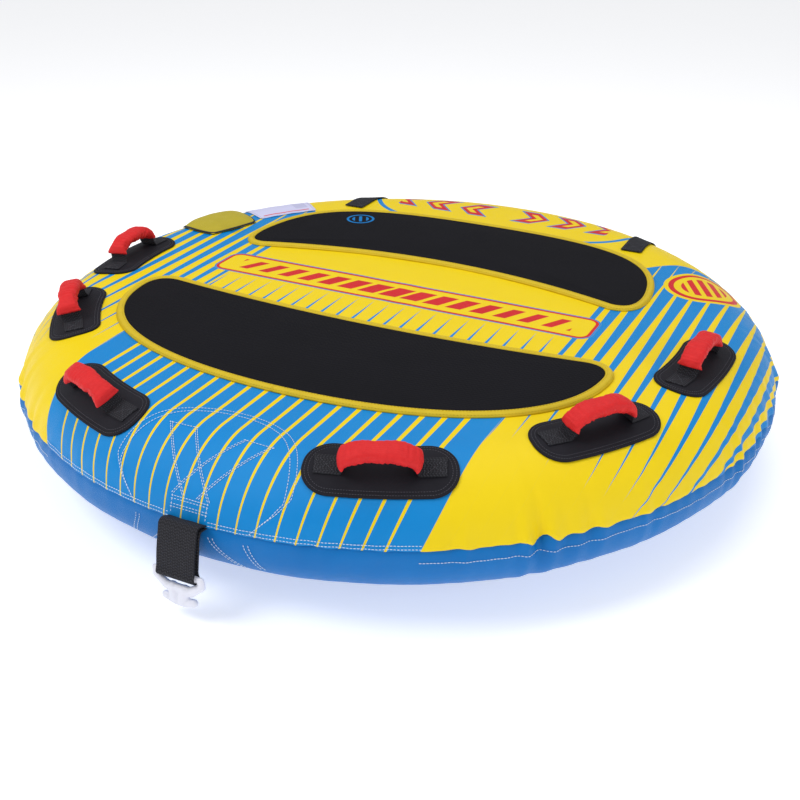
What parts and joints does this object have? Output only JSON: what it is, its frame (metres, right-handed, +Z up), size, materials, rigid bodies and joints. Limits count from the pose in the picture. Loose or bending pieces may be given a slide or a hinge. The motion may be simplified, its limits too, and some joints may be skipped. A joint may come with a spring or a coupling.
{
  "type": "towable tube",
  "caption": "Round inflatable tube towed behind a boat: flat deck with body pads, padded handles on knuckle guards, a front tow strap with a plastic hook and a rear boarding strap.",
  "frame": {"origin": "middle of the flat underside, on the surface that the tube lies on", "axes": "+Z up, -Y towards the tow point, +X to the right of a rider who faces aft"},
  "size_m": [1.6, 1.656, 0.3426],
  "materials": {
    "printed_nylon": "printed coated nylon",
    "blue_nylon": "coated nylon",
    "clear_vinyl": "welded vinyl",
    "yellow_trim": "folded tape",
    "black_foam": "fabric-faced foam",
    "neoprene": "stitched neoprene",
    "red_nylon": "padded woven nylon",
    "white_plastic": "moulded",
    "label_film": "printed film",
    "flap_fabric": "bound fabric",
    "zip_coil": "coil",
    "black_plastic": "moulded",
    "black_webbing": "woven webbing"
  },
  "bodies": {
    "hull": {"top_cover": "printed_nylon", "bottom_cover": "blue_nylon", "bladder": "clear_vinyl", "bladder_baffle_1": "clear_vinyl", "bladder_baffle_2": "clear_vinyl", "bladder_baffle_3": "clear_vinyl", "bladder_baffle_4": "clear_vinyl", "bladder_baffle_5": "clear_vinyl", "harness_leg_left": "black_webbing", "harness_leg_right": "black_webbing", "front_pad": "black_foam", "front_pad_trim": "yellow_trim", "rear_pad": "black_foam", "rear_pad_trim": "yellow_trim", "front_left_handle_guard": "neoprene", "front_right_handle_guard": "neoprene", "middle_left_handle_guard": "neoprene", "middle_right_handle_guard": "neoprene", "rear_left_handle_guard": "neoprene", "rear_right_handle_guard": "neoprene", "tow_webbing_anchor": "black_webbing", "boarding_strap_end_left": "black_webbing", "boarding_strap_end_right": "black_webbing", "valve_base": "black_plastic", "safety_label": "label_film", "zip_tape": "black_webbing", "zip_coil": "zip_coil", "drain_front_left": "black_plastic", "drain_front_right": "black_plastic", "drain_rear_left": "black_plastic", "drain_rear_right": "black_plastic"},
    "front_left_handle": {"front_left_handle_grip": "red_nylon", "front_left_handle_webbing": "black_webbing"},
    "front_right_handle": {"front_right_handle_grip": "red_nylon", "front_right_handle_webbing": "black_webbing"},
    "middle_left_handle": {"middle_left_handle_grip": "red_nylon", "middle_left_handle_webbing": "black_webbing"},
    "middle_right_handle": {"middle_right_handle_grip": "red_nylon", "middle_right_handle_webbing": "black_webbing"},
    "rear_left_handle": {"rear_left_handle_grip": "red_nylon", "rear_left_handle_webbing": "black_webbing"},
    "rear_right_handle": {"rear_right_handle_grip": "red_nylon", "rear_right_handle_webbing": "black_webbing"},
    "tow_strap": {"tow_strap": "black_webbing"},
    "tow_hook": {"tow_hook": "white_plastic"},
    "boarding_loop": {"boarding_strap_loop": "black_webbing"},
    "valve_flap": {"valve_flap": "flap_fabric"},
    "valve_cap": {"valve_cap": "black_plastic"},
    "zip_slider": {"zip_slider": "black_plastic"},
    "zip_pull": {"zip_pull": "black_plastic"}
  },
  "joints": [
    {"name": "front_left_handle_swing", "type": "hinge", "parent": "hull", "child": "front_left_handle", "pos_m": [-0.28594, -0.65762, 0.27712], "axis": [0.9171, -0.3987, 0], "range_deg": [-28, 28]},
    {"name": "front_right_handle_swing", "type": "hinge", "parent": "hull", "child": "front_right_handle", "pos_m": [0.28594, -0.65762, 0.27712], "axis": [0.9171, 0.3987, 0], "range_deg": [-28, 28]},
    {"name": "middle_left_handle_swing", "type": "hinge", "parent": "hull", "child": "middle_left_handle", "pos_m": [-0.56167, -0.38603, 0.28749], "axis": [0.5664, -0.8241, 0], "range_deg": [-28, 28]},
    {"name": "middle_right_handle_swing", "type": "hinge", "parent": "hull", "child": "middle_right_handle", "pos_m": [0.56167, -0.38603, 0.28749], "axis": [0.5664, 0.8241, 0], "range_deg": [-28, 28]},
    {"name": "rear_left_handle_swing", "type": "hinge", "parent": "hull", "child": "rear_left_handle", "pos_m": [-0.65942, -0.06349, 0.28953], "axis": [0.0958, -0.9954, 0], "range_deg": [-28, 28]},
    {"name": "rear_right_handle_swing", "type": "hinge", "parent": "hull", "child": "rear_right_handle", "pos_m": [0.65942, -0.06349, 0.28953], "axis": [0.0958, 0.9954, 0], "range_deg": [-28, 28]},
    {"name": "tow_strap_swing", "type": "hinge", "parent": "hull", "child": "tow_strap", "pos_m": [0, -0.818, 0.17], "axis": [1, 0, 0], "range_deg": [-80, 20]},
    {"name": "tow_hook_swing", "type": "hinge", "parent": "tow_strap", "child": "tow_hook", "pos_m": [0, -0.83463, 0.09175], "axis": [1, 0, 0], "range_deg": [-75, 45]},
    {"name": "boarding_loop_swing", "type": "hinge", "parent": "hull", "child": "boarding_loop", "pos_m": [0, 0.7172, 0.165], "axis": [1, 0, 0], "range_deg": [0, 60]},
    {"name": "valve_flap_open", "type": "hinge", "parent": "hull", "child": "valve_flap", "pos_m": [-0.54853, 0.19748, 0.2877], "axis": [0.3387, 0.9409, 0], "range_deg": [0, 135]},
    {"name": "valve_cap_turn", "type": "hinge", "parent": "hull", "child": "valve_cap", "pos_m": [-0.58146, 0.20934, 0.28], "axis": [0, 0, 1], "range_deg": [0, 90]},
    {"name": "zip_slider_travel", "type": "hinge", "parent": "hull", "child": "zip_slider", "pos_m": [0, 0, 0.05], "axis": [0, 0, 1], "range_deg": [0, 70]},
    {"name": "zip_pull_tilt", "type": "hinge", "parent": "zip_slider", "child": "zip_pull", "pos_m": [0.42572, 0.57995, 0.04273], "axis": [-0.5444, -0.7416, -0.3919], "range_deg": [0, 60]}
  ]
}
